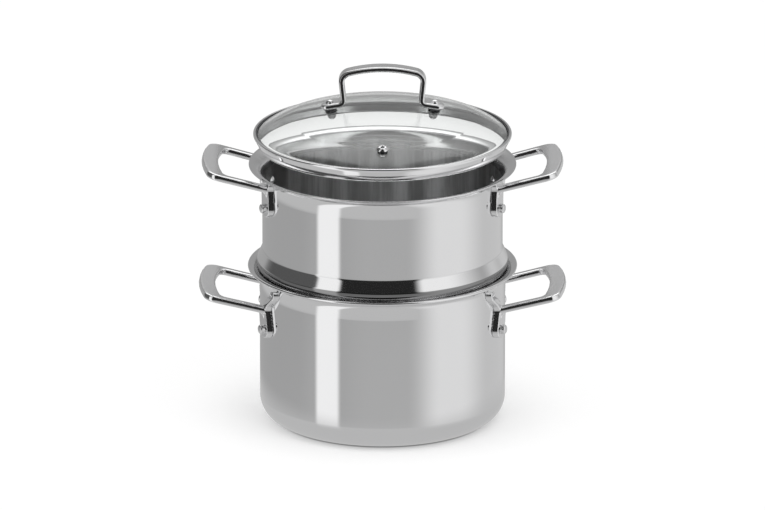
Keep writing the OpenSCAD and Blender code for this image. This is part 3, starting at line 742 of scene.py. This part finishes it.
class Seats:
    """Heights and radii worked out from the sizes, as in the part's source."""

    def __init__(self, scene):
        pot, steamer, lid = scene.pot_sizes, scene.steamer_sizes, scene.lid_sizes
        self.pot_outer_r = pot.inner_r + pot.wall
        self.pot_flare_z = pot.height - pot.flare_r
        self.steamer_rim_z = pot.height + steamer.rise
        self.steamer_flare_z = self.steamer_rim_z - steamer.flare_r
        self.steamer_floor_z = pot.height - steamer.depth
        bead_r = steamer.outer_r + steamer.bead_out
        self.skirt_r = bead_r - steamer.skirt_in
        reach = pot.flare_r + steamer.bead_curve_r + SEAT_GAP
        in_r = pot.inner_r + pot.flare_r - bead_r + steamer.bead_curve_r
        bead_curve_z = self.pot_flare_z + sqrt(reach ** 2 - in_r ** 2)
        curves = steamer.bead_curve_r + steamer.skirt_curve_r
        self.skirt_turn = acos(1 - steamer.skirt_in / curves)
        self.skirt_top_z = bead_curve_z - curves * sin(self.skirt_turn)
        self.slope_top_z = bead_curve_z + steamer.bead_band_h + steamer.bead_slope_h

        bend_h = lid.bend_r * sin(lid.taper)
        self.skirt_top_r = lid.ring_r - lid.bend_r * (1 - cos(lid.taper))
        skirt_end_r = self.skirt_top_r - (lid.skirt_h - bend_h) * tan(lid.taper)
        self.skirt_run = (lid.skirt_h - bend_h) / cos(lid.taper)
        self.hem_r = skirt_end_r - lid.hem_r * cos(lid.taper)
        self.hem_h = -lid.skirt_h + lid.hem_r * sin(lid.taper)
        self.bend_h = bend_h
        self.glass_r = lid.ring_r - lid.ring_t - lid.seal_w
        self.shoulder_centre_r = (lid.crown_r - lid.shoulder_r) * sin(lid.shoulder_slope)
        self.edge_slope = asin((self.glass_r - self.shoulder_centre_r) / lid.shoulder_r)
        self.shoulder_h = -lid.shoulder_r * cos(self.edge_slope)
        self.crown_h = self.shoulder_h - (lid.crown_r - lid.shoulder_r) * cos(lid.shoulder_slope)
        rim_r = steamer.outer_r - steamer.wall + steamer.flare_r
        reach = steamer.flare_r + lid.hem_r + SEAT_GAP
        seat_z = self.steamer_flare_z - self.hem_h + sqrt(reach ** 2 - (rim_r - self.hem_r) ** 2)
        self.lid_z = seat_z + lid.lift
        self.screw_tilt = asin(lid.screw_spacing / 2 / lid.crown_r)
        self.crown_r = lid.crown_r

    def on_glass(self, side):
        """The frame of a lid screw, with its origin on the glass."""
        turn = Matrix.Rotation(side * self.screw_tilt, 4, "Y")
        return (Matrix.Translation((0, 0, self.lid_z + self.crown_h)) @ turn
                @ Matrix.Translation((0, 0, self.crown_r)))

    def at_vent(self, slope, shoulder_r):
        """The frame of the steam vent, with its origin on the glass."""
        place = (0, -self.shoulder_centre_r, self.lid_z + self.shoulder_h)
        return (Matrix.Translation(place) @ Matrix.Rotation(slope, 4, "X")
                @ Matrix.Translation((0, 0, shoulder_r)))


class PieceOperator:
    """What the pieces' operators share."""

    bl_options = {"REGISTER", "UNDO"}

    def execute(self, context):
        self.make(context, Seats(context.scene))
        return {"FINISHED"}


class OBJECT_OT_pot_shell(PieceOperator, bpy.types.Operator):
    """Turns the pot: base, rounded corner, wall and flared rim"""

    bl_idname = "object.steamer_pot_shell"
    bl_label = "Pot"

    def make(self, context, seats):
        pot = context.scene.pot_sizes
        outline = strip(pot.wall, [
            [seats.pot_outer_r - pot.corner_r, pot.corner_r, pi / 2],
            *eased_rim(seats.pot_flare_z - pot.corner_r, pot.flare_r - pot.wall)])
        piece = turned(outline, closed=False)
        finished(context, piece, "pot_shell_polished", "polished steel", "pot", ["pot_shell"])


class OBJECT_OT_steamer_wall(PieceOperator, bpy.types.Operator):
    """Turns the steamer's wall with its seating bead, and finishes its perforated floor"""

    bl_idname = "object.steamer_wall"
    bl_label = "Steamer"

    def make(self, context, seats):
        steamer = context.scene.steamer_sizes
        start = (seats.skirt_r - steamer.corner_r, seats.steamer_floor_z)
        outline = strip(steamer.wall, [
            [0, steamer.corner_r, pi / 2],
            [seats.skirt_top_z - seats.steamer_floor_z - steamer.corner_r,
             steamer.skirt_curve_r, -seats.skirt_turn],
            [0, steamer.bead_curve_r, seats.skirt_turn],
            *eased_slope(steamer.bead_band_h, steamer.bead_out, steamer.bead_slope_h),
            *eased_rim(seats.steamer_flare_z - seats.slope_top_z,
                       steamer.flare_r - steamer.wall)],
            start)
        piece = turned(outline)
        finished(context, piece, "steamer_wall_polished", "polished steel", "steamer",
                 ["steamer_wall"])
        floor = frame["nodes"]["steamer_floor"]
        floor.data.materials.clear()
        floor.data.materials.append(finish_of(context, "polished steel"))


class OBJECT_OT_side_handles(PieceOperator, bpy.types.Operator):
    """Forges the four side handles with their forked feet"""

    bl_idname = "object.steamer_side_handles"
    bl_label = "Side handles"

    def make(self, context, seats):
        for vessel in ("pot", "steamer"):
            for side in SIDES:
                node = f"{vessel}_{side}_handle"
                piece = forged(node, HANDLE_VOXEL, smoothing=8)
                finished(context, piece, f"{node}_forged", "satin steel", vessel, [node])


class OBJECT_OT_rivets(PieceOperator, bpy.types.Operator):
    """Turns the rivets, with flat heads outside and domed ones inside"""

    bl_idname = "object.steamer_rivets"
    bl_label = "Rivets"

    def make(self, context, seats):
        fit = context.scene.fitting_sizes
        pot, steamer = context.scene.pot_sizes, context.scene.steamer_sizes
        vessels = {
            "pot": (seats.pot_outer_r, pot.wall, pot.height - fit.pot_drop, fit.pot_lean),
            "steamer": (steamer.outer_r, steamer.wall, seats.steamer_rim_z - fit.steamer_drop,
                        fit.steamer_lean),
        }
        for vessel, (wall_r, wall_t, arm_z, lean) in vessels.items():
            sag = fit.rivet_inner_d ** 2 / 8 / (wall_r - wall_t)
            inner = -wall_t - sag - TOUCH_GAP
            outer = fit.foot_t + TOUCH_GAP
            inside = [Vector((p[0], inner - p[1]))
                      for p in dome_line(fit.rivet_inner_d, fit.rivet_inner_h, 0)][::-1]
            head = button_line(fit.rivet_head_d, fit.rivet_head_h, outer,
                               RIVET_EDGE_SHARE * fit.rivet_head_h)
            outline = (inside + [Vector((fit.rivet_r, inner)), Vector((fit.rivet_r, outer))]
                       + head)
            first = turned(outline, SMALL_STEPS, closed=False)
            drop = fit.foot_drop - fit.rivet_rise
            turn = asin((fit.foot_spacing / 2 + drop * sin(lean)) / wall_r)
            for side, across in SIDES.items():
                for end, along_y in ENDS.items():
                    out = Vector((across * cos(turn), along_y * sin(turn), 0))
                    facing = Vector((0, 0, 1)).rotation_difference(out).to_matrix().to_4x4()
                    place = out * wall_r + Vector((0, 0, arm_z - drop * cos(lean)))
                    piece = copied(first, Matrix.Translation(place) @ facing)
                    node = f"{vessel}_{side}_{end}_rivet"
                    finished(context, piece, f"{node}_head", "fastener steel", vessel, [node])
            bpy.data.objects.remove(first)


class OBJECT_OT_lid_glass(PieceOperator, bpy.types.Operator):
    """Turns the domed glass with its ground edge"""

    bl_idname = "object.steamer_lid_glass"
    bl_label = "Lid glass"

    def make(self, context, seats):
        lid = context.scene.lid_sizes
        z = seats.lid_z

        def face(thick):
            line = []
            crown_r, shoulder_r = lid.crown_r - thick, lid.shoulder_r - thick
            count = ceil(lid.shoulder_slope / SHOULDER_STEP)
            for k in range(count):
                a = lid.shoulder_slope * k / count
                line.append(Vector((crown_r * sin(a), z + seats.crown_h + crown_r * cos(a))))
            last = asin((seats.glass_r - seats.shoulder_centre_r) / shoulder_r)
            count = ceil((last - lid.shoulder_slope) / SHOULDER_STEP)
            for k in range(count + 1):
                a = lid.shoulder_slope + (last - lid.shoulder_slope) * k / count
                line.append(Vector((seats.shoulder_centre_r + shoulder_r * sin(a),
                                    z + seats.shoulder_h + shoulder_r * cos(a))))
            return line

        outer, inner = face(0), face(lid.glass_t)
        outer[-1] = outer[-1] + GROUND_EDGE * Vector((-1, 0.4))
        inner[-1] = inner[-1] + GROUND_EDGE * Vector((-1, -0.2))
        rim = [Vector((seats.glass_r, outer[-1].y - 1.6 * GROUND_EDGE)),
               Vector((seats.glass_r, inner[-1].y + GROUND_EDGE))]
        piece = turned(outer + rim + inner[::-1], closed=False)
        finished(context, piece, "lid_glass_dome", "lid glass", "lid", ["lid_glass"])


class OBJECT_OT_lid_ring(PieceOperator, bpy.types.Operator):
    """Turns the lid's steel ring and the silicone between ring and glass"""

    bl_idname = "object.steamer_lid_ring"
    bl_label = "Lid ring and seal"

    def make(self, context, seats):
        lid = context.scene.lid_sizes
        outline = strip(lid.ring_t, [
            [lid.hem_w, lid.hem_r, pi / 2 - lid.taper],
            [seats.skirt_run, lid.bend_r, lid.taper],
            [0, lid.lip_r, pi / 2],
            [lid.lip_w, lid.lip_r, 0]],
            (seats.hem_r - lid.hem_w, seats.lid_z + seats.hem_h - lid.hem_r))
        finished(context, turned(outline), "lid_ring_polished", "polished steel", "lid",
                 ["lid_ring"])
        z = seats.lid_z
        skirt_h = -seats.bend_h + lid.ring_t * sin(lid.taper)
        skirt_r = seats.skirt_top_r - lid.ring_t * cos(lid.taper)
        bottom_h = -lid.skirt_h / 3
        bottom_r = skirt_r - (skirt_h - bottom_h) * tan(lid.taper)
        top_h = lid.lip_r - lid.ring_t - TOUCH_GAP
        seal = [(seats.glass_r + TOUCH_GAP, bottom_h), (bottom_r - TOUCH_GAP, bottom_h),
                (skirt_r - TOUCH_GAP, skirt_h), (lid.ring_r - lid.ring_t - 2 * TOUCH_GAP, 0),
                (lid.ring_r - lid.lip_r, top_h), (seats.glass_r + TOUCH_GAP, top_h)]
        piece = turned([Vector((r, z + h)) for r, h in seal])
        finished(context, piece, "glass_seal_moulded", "black silicone", "lid", ["glass_seal"])


class OBJECT_OT_lid_handle(PieceOperator, bpy.types.Operator):
    """Forges the lid handle from flat bar"""

    bl_idname = "object.steamer_lid_handle"
    bl_label = "Lid handle"

    def make(self, context, seats):
        piece = forged("lid_handle", BAR_VOXEL, smoothing=2)
        finished(context, piece, "lid_handle_bar", "bar steel", "lid", ["lid_handle"])


class OBJECT_OT_lid_fasteners(PieceOperator, bpy.types.Operator):
    """Turns the lid's screws, gaskets and cap nuts"""

    bl_idname = "object.steamer_lid_fasteners"
    bl_label = "Lid screws, gaskets and nuts"

    def make(self, context, seats):
        lid, fit = context.scene.lid_sizes, context.scene.fitting_sizes
        sag = fit.under_gasket_r ** 2 / 2 / (lid.crown_r - lid.glass_t)
        under_top = -lid.glass_t - sag - TOUCH_GAP
        nut_top = under_top - fit.under_gasket_t - TOUCH_GAP
        head = fit.gasket_t + fit.bar_t + 3 * TOUCH_GAP
        tip = nut_top - fit.nut_h + fit.nut_roof + SHANK_GAP
        shank, hole = fit.screw_r, fit.screw_r + SHANK_GAP
        soft = SOFT_EDGE
        flange, body, flange_low = fit.nut_flange_r, fit.nut_r, nut_top - MM

        def disc(radius, low, high):
            return [Vector(p) for p in (
                (hole, low), (radius - soft, low), (radius, low + soft),
                (radius, high - soft), (radius - soft, high), (hole, high))]

        nut = [(hole, nut_top), (flange - soft, nut_top), (flange, nut_top - soft),
               (flange, flange_low + soft / 2), (flange - soft / 2, flange_low),
               (body, flange_low)]
        nut += [(body * cos(a), nut_top - fit.nut_h + body - body * sin(a))
                for a in [pi / 2 * k / NUT_STEPS for k in range(NUT_STEPS + 1)]]
        screw = [(0, tip), (shank, tip), (shank, head)]
        pieces = {
            "screw": ([Vector(p) for p in screw]
                      + dome_line(fit.screw_head_d, fit.screw_head_h, head), "fastener steel"),
            "gasket": (disc(fit.gasket_r, TOUCH_GAP, fit.gasket_t + TOUCH_GAP),
                       "black silicone"),
            "under_gasket": (disc(fit.under_gasket_r, under_top - fit.under_gasket_t, under_top),
                             "black silicone"),
            "cap_nut": ([Vector(p) for p in nut], "nut steel"),
        }
        for kind, (outline, finish) in pieces.items():
            first = turned(outline, SMALL_STEPS, closed=finish == "black silicone")
            for side, across in SIDES.items():
                node = f"{side}_{kind}"
                piece = copied(first, seats.on_glass(across))
                finished(context, piece, f"{node}_fitted", finish, "lid", [node])
            bpy.data.objects.remove(first)


class OBJECT_OT_steam_vent(PieceOperator, bpy.types.Operator):
    """Turns the steam vent's eyelet and its silicone grommet"""

    bl_idname = "object.steamer_vent"
    bl_label = "Steam vent"

    def make(self, context, seats):
        lid, fit = context.scene.lid_sizes, context.scene.fitting_sizes
        place = seats.at_vent(lid.vent_slope, lid.shoulder_r)
        base = fit.vent_seal_t + 2 * TOUCH_GAP
        under = -lid.glass_t - fit.vent_seal_t - VENT_UNDER_GAP
        hole, barrel, edge, sleeve = fit.vent_hole_r, fit.vent_barrel_r, VENT_EDGE_R, VENT_SLEEVE_R
        dome = [p for p in dome_line(fit.vent_d, fit.vent_h, base, 16) if p.x > VENT_DISH_R]
        outline = dome + [Vector(p) for p in (
            (VENT_LIP_R, base + VENT_LIP_H), (hole, base + VENT_THROAT_H),
            (hole, under - VENT_SHEET), (edge, under - VENT_SHEET), (edge, under),
            (barrel, under), (barrel, base))]
        piece = moved(turned(outline, SMALL_STEPS), place)
        finished(context, piece, "steam_vent_eyelet", "fastener steel", "lid", ["steam_vent"])
        top, bottom = TOUCH_GAP, under + TOUCH_GAP
        grommet = [Vector(p) for p in (
            (barrel + TOUCH_GAP, top + MM), (edge - 0.3 * MM, top + MM), (edge, top + 0.7 * MM),
            (edge, top), (sleeve, top), (sleeve, bottom + MM), (edge, bottom + MM),
            (edge, bottom), (barrel + TOUCH_GAP, bottom))]
        piece = moved(turned(grommet, SMALL_STEPS), place)
        finished(context, piece, "vent_grommet", "black silicone", "lid", ["vent_seal"])


class OBJECT_OT_stage(PieceOperator, bpy.types.Operator):
    """Sets up the camera, the floor and the studio light"""

    bl_idname = "object.steamer_stage"
    bl_label = "Stage"

    def make(self, context, seats):
        studio = context.scene.studio
        leave_edit_mode()
        aim = Vector((0, 0, studio.aim_z))
        back = Vector((0, -cos(studio.elevation), sin(studio.elevation)))
        bpy.ops.object.camera_add(location=aim + back * studio.distance)
        camera = context.object
        camera.rotation_euler = (pi / 2 - studio.elevation, 0, 0)
        camera.data.lens = studio.lens
        camera.data.sensor_width = SENSOR_WIDTH
        camera.data.clip_end = CLIP_END
        context.scene.camera = camera
        context.scene.view_settings.view_transform = "Standard"
        self.floor(context, studio)
        self.near_table(context)
        self.light(context)
        self.surroundings(context)

    def floor(self, context, studio):
        """A white floor, with a painted contact shadow round the pot's base and the soft shade
        under the pot.
        """
        bpy.ops.mesh.primitive_plane_add(size=FLOOR_SIZE)
        floor = context.object
        floor.name = "studio_floor"
        made, n = new_material("studio floor")
        seen = n.add("ShaderNodeLightPath", output="Is Camera Ray")
        seen = seen + n.add("ShaderNodeLightPath", output="Is Transmission Ray")
        seen = seen.math("MINIMUM", 1.0)
        far = n.distance()
        # Painted contact shadow: the floor's colour drops to a quarter under the pot's base, out to
        # its edge, where it shows as a dark line
        dark = rgba(studio.floor, CONTACT_SHADE)
        white = n.mix(far.ramp(*PAINTED_CONTACT_SHADOW_R), dark, rgba(studio.floor))
        matt = n.add("ShaderNodeBsdfDiffuse", {"Color": white})
        bright = n.add("ShaderNodeEmission", {"Color": white, "Strength": 1.0})
        share_bright = seen * far.ramp(*FLOOR_SHADE_R, *FLOOR_SHADE)
        mixed = n.add("ShaderNodeMixShader", {0: share_bright, 1: matt, 2: bright})
        n.add("ShaderNodeOutputMaterial", {"Surface": mixed})
        floor.data.materials.append(made)
        floor.visible_glossy = False

    def near_table(self, context):
        """A bright disc under the pot that only the steel's reflections see."""
        bpy.ops.mesh.primitive_circle_add(
            radius=NEAR_TABLE_R, fill_type="NGON", location=(0, 0, NEAR_TABLE_Z)
        )
        near = context.object
        near.name = "studio_near_table"
        made, n = new_material("studio near table")
        far = n.distance()
        white = (1, 1, 1, 1)
        glow = n.add("ShaderNodeEmission", {"Color": white, "Strength": NEAR_TABLE_GLOW})
        clear = n.add("ShaderNodeBsdfTransparent")
        edge = far.ramp(*NEAR_TABLE_EDGE_R)
        mixed = n.add("ShaderNodeMixShader", {0: edge, 1: glow, 2: clear})
        n.add("ShaderNodeOutputMaterial", {"Surface": mixed})
        near.data.materials.append(made)
        for sight in ("camera", "diffuse", "transmission", "shadow", "volume_scatter"):
            setattr(near, f"visible_{sight}", False)

    def light(self, context):
        """Soft lamps that light the floor and the silicone but don't show in the steel."""
        for name, (place, size, power) in LAMPS.items():
            bpy.ops.object.light_add(type="AREA", location=place)
            lamp = context.object
            lamp.name = f"soft_{name}"
            lamp.data.size = size
            lamp.data.energy = power
            facing = (LAMPS_AIM - Vector(place)).to_track_quat("-Z", "Y")
            lamp.rotation_euler = facing.to_euler()
            lamp.visible_glossy = False
            lamp.visible_transmission = False

    def surroundings(self, context):
        """The world: white to the camera, and a studio with soft boxes in the steel."""
        world = bpy.data.worlds.new("studio")
        context.scene.world = world
        world.use_nodes = True
        n = Nodes(world.node_tree)
        x, y, z = n.split(n.add("ShaderNodeTexCoord", output="Generated"))
        round_ = x.math("ARCTAN2", y * -1.0)
        up = z.math("ARCSINE")

        def box(centre, half, soft):
            away = (round_ - radians(centre)).math("ABSOLUTE")
            return away.ramp(radians(half + soft), radians(half - soft))

        def between(value, low, high):
            return value.ramp(radians(low), radians(high))

        def changed(level, changes):
            for low, high, amount in changes:
                level = between(round_, low, high) * amount + level
            return level

        def over(base, cover, mask):
            return base * (1 - mask) + cover * mask

        table = changed(TABLE_LEVEL, TABLE_CHANGES) + box(*TABLE_BOX) * TABLE_BOX_LEVEL
        near = table.math("MAXIMUM", NEAR_TABLE_LEVEL)
        table = over(table, near, between(up, *NEAR_TABLE_RISE))
        wall = changed(box(*WALL_BOX) * WALL_BOX_LEVEL + WALL_LEVEL, WALL_CHANGES)
        rear = between(up, *REAR_RISE) * REAR_RISE_LEVEL + REAR_LEVEL
        low, high = (between(up, *rise) for rise in GLASS_BOX_RISES)
        rear = rear + low * high * GLASS_BOX_LEVEL
        wall = over(wall, rear, between(round_.math("ABSOLUTE"), *REAR_FROM))
        wall = over(wall, ROOF_LEVEL, between(up, *ROOF_RISE))
        steel_sees = over(table, wall, between(up, *HORIZON))
        steel_sees = over(steel_sees, STRIP_BOX_LEVEL, box(*STRIP_BOX))
        glossy = n.add("ShaderNodeLightPath", output="Is Glossy Ray")
        level = (1 - glossy) + glossy * steel_sees
        sky = n.add("ShaderNodeBackground", {"Color": (1, 1, 1, 1), "Strength": level})
        n.add("ShaderNodeOutputWorld", {"Surface": sky})


OPERATORS = (
    OBJECT_OT_pot_shell,
    OBJECT_OT_steamer_wall,
    OBJECT_OT_side_handles,
    OBJECT_OT_rivets,
    OBJECT_OT_lid_glass,
    OBJECT_OT_lid_ring,
    OBJECT_OT_lid_handle,
    OBJECT_OT_lid_fasteners,
    OBJECT_OT_steam_vent,
    OBJECT_OT_stage,
)


class VIEW3D_PT_steamer_pot(bpy.types.Panel):
    """Lists the pieces that can be made."""

    bl_label = "Steamer pot"
    bl_space_type = "VIEW_3D"
    bl_region_type = "UI"
    bl_category = "Steamer pot"

    def draw(self, context):
        for operator in OPERATORS:
            self.layout.operator(operator.bl_idname)


CLASSES = (*SETTINGS.values(), *OPERATORS, VIEW3D_PT_steamer_pot)


def register():
    for cls in CLASSES:
        bpy.utils.register_class(cls)
    for name, group in SETTINGS.items():
        setattr(bpy.types.Scene, name, bpy.props.PointerProperty(type=group))


def unregister():
    for name in SETTINGS:
        delattr(bpy.types.Scene, name)
    for cls in reversed(CLASSES):
        bpy.utils.unregister_class(cls)


def main():
    register()
    for operator in OPERATORS:
        group, name = operator.bl_idname.split(".")
        getattr(getattr(bpy.ops, group), name)()


if __name__ == "__main__":
    main()
